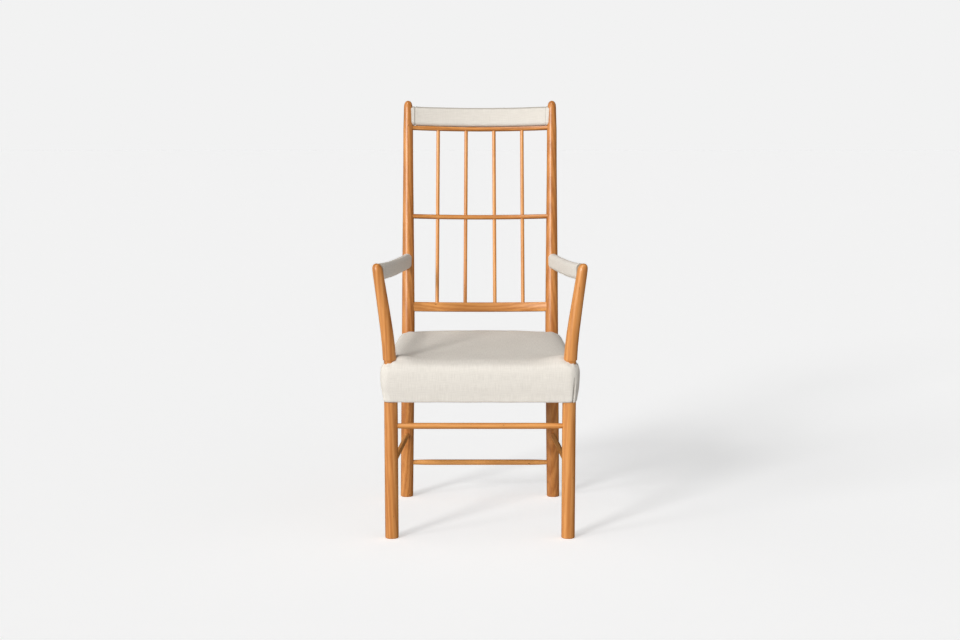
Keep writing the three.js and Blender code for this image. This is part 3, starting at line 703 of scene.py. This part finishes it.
def back_directions():
    """Up the reclined back and square through it, read from a rear post."""
    low, high = (middle("rear_post_left", Z_AXIS, height) for height in BACK_READ_AT)
    up = Vector((0, high.y - low.y, high.z - low.z)).normalized()
    return Vector((0, up.z, -up.y)), up


def make_headrest():
    through, up = back_directions()
    spine = Spine("headrest_cover", X_AXIS, through, up, skip=20 * MM, count=25)

    def shape(from_left, from_right, a, b):
        ends = ((from_left, SEAMS["headrest_left"]), (from_right, SEAMS["headrest_right"]))
        moves, shades = zip(*(end_seam(distance, seam) for distance, seam in ends))
        move, shade = sum(moves), HEADREST_PAINTED_SHADE + sum(shades)
        if a > 0.5:
            move -= long_seam(b, HEADREST_BACK_SEAM)
        if a < 0:
            move -= long_seam(b, HEADREST_TOP_SEAM)
            # Painted shade along the top edge.
            shade += long_seam(b, HEADREST_TOP_PAINTED_SHADE)
        return move, shade

    return sleeve("headrest_cover_linen", spine, through, up, HEADREST_CORNER, HEADREST_AROUND,
                  HEADREST_REACH, shape)


# ---------- dust cover ----------
def make_dust_cover(front, rear):
    """Thin black cloth tacked under the seat, sagging a little, and its flat size and area."""
    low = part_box("seat_dust_cover")[0]
    outset = front.y - low.y
    depth = rear.y - front.y + 2 * outset
    last = DUST_COVER["points"] - 1
    rows, weave = [], []
    for j in range(last + 1):
        y = front.y - outset + depth * j / last
        leg_line = lerp(front.x, rear.x, (y - front.y) / (rear.y - front.y))
        half = leg_line + outset - DUST_COVER["margin"]
        row, flat = [], []
        for i in range(last + 1):
            x = lerp(-half, half, i / last)
            sag = DUST_COVER["sag"] * math.sin(math.pi * i / last) * math.sin(math.pi * j / last)
            uneven = waves(Vector((x, y, 0)), DUST_COVER["uneven"])
            row.append(Vector((x, y, low.z + DUST_COVER["up"] - sag + uneven)))
            flat.append((x, y, 0))
        rows.append(row)
        weave.append(flat)
    cloth = skinned("seat_dust_cloth", rows, weave, closed_round=False)
    area = (front.x + rear.x + 2 * outset - 2 * DUST_COVER["margin"]) * depth
    return cloth, (2 * (front.x + outset), depth), area


# ---------- the chair ----------
dress_cad_nodes()

front_corner, rear_corner = seat_plan()
seat = make_seat(front_corner, rear_corner)
shape_seat(seat, front_corner)
dust_cloth, dust_flat, dust_area = make_dust_cover(front_corner, rear_corner)
covers = [(seat, "seat_cover", "linen"), (make_headrest(), "headrest_cover", "linen")]
covers += [(make_arm(side), f"arm_cover_{side}", "linen") for side in SIDES]
for cover, node, slot in [*covers, (dust_cloth, "seat_dust_cover", "dust_cloth")]:
    dress(cover, slot)
    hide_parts(node)
    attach(cover, "root")


# ---------- floor, light and camera ----------
def make_floor():
    reach = FLOOR["reach"]
    mesh = bpy.data.meshes.new("studio_floor")
    corners = [(-reach, -reach, 0), (reach, -reach, 0), (reach, reach, 0), (-reach, reach, 0)]
    mesh.from_pydata(corners, [], [(0, 1, 2, 3)])
    floor = bpy.data.objects.new("studio_floor", mesh)
    bpy.context.scene.collection.objects.link(floor)
    material, _, shader = new_material("studio_white")
    shader.inputs["Base Color"].default_value = (*[FLOOR["albedo"]] * 3, 1)
    shader.inputs["Roughness"].default_value = 1.0
    shader.inputs["Specular IOR Level"].default_value = 0.0
    shader.inputs["Emission Color"].default_value = (1, 1, 1, 1)
    shader.inputs["Emission Strength"].default_value = FLOOR["glow"]
    mesh.materials.append(material)
    floor.visible_diffuse = False
    floor.visible_glossy = False
    floor.visible_shadow = False
    return floor


def make_sun(name, azimuth, elevation, strength, softness, shines=True):
    light = bpy.data.lights.new(name, "SUN")
    light.energy = strength
    light.angle = math.radians(softness)
    left, height = math.radians(azimuth), math.radians(elevation)
    level = math.cos(height)
    towards_light = Vector((-math.sin(left) * level, -math.cos(left) * level, math.sin(height)))
    lamp = bpy.data.objects.new(name, light)
    lamp.rotation_euler = towards_light.to_track_quat("Z", "Y").to_euler()
    lamp.visible_glossy = shines
    bpy.context.scene.collection.objects.link(lamp)
    return lamp


def keep_off(lamp, piece):
    """A lamp that passes one piece by and lights all the others."""
    unlit = bpy.data.collections.new(f"not_lit_by_{lamp.name}")
    unlit.objects.link(piece)
    unlit.collection_objects[0].light_linking.link_state = "EXCLUDE"
    lamp.light_linking.receiver_collection = unlit


def make_room():
    """The white of the room is only seen; the chair gets its light from the lamps."""
    world = bpy.data.worlds.new("studio")
    bpy.context.scene.world = world
    world.use_nodes = True
    world.node_tree.nodes["Background"].inputs["Color"].default_value = (*[ROOM_WHITE] * 3, 1)
    world.cycles_visibility.diffuse = False
    world.cycles_visibility.glossy = False


def make_camera():
    data = bpy.data.cameras.new("camera")
    data.lens = CAMERA["lens"]
    data.sensor_width = CAMERA["sensor"]
    data.clip_end = 1000
    camera = bpy.data.objects.new("camera", data)
    camera.location = (0, front_corner.y - CAMERA["before_front_legs"], CAMERA["height"])
    camera.rotation_euler = (math.radians(90 - CAMERA["pitch"]), 0, 0)
    bpy.context.scene.collection.objects.link(camera)
    bpy.context.scene.camera = camera


studio_floor = make_floor()
lamps = {name: make_sun(name, **spec) for name, spec in LIGHTS.items()}
for name in NOT_ON_FLOOR:
    keep_off(lamps[name], studio_floor)
make_room()
make_camera()
bpy.context.scene.view_settings.view_transform = "Standard"
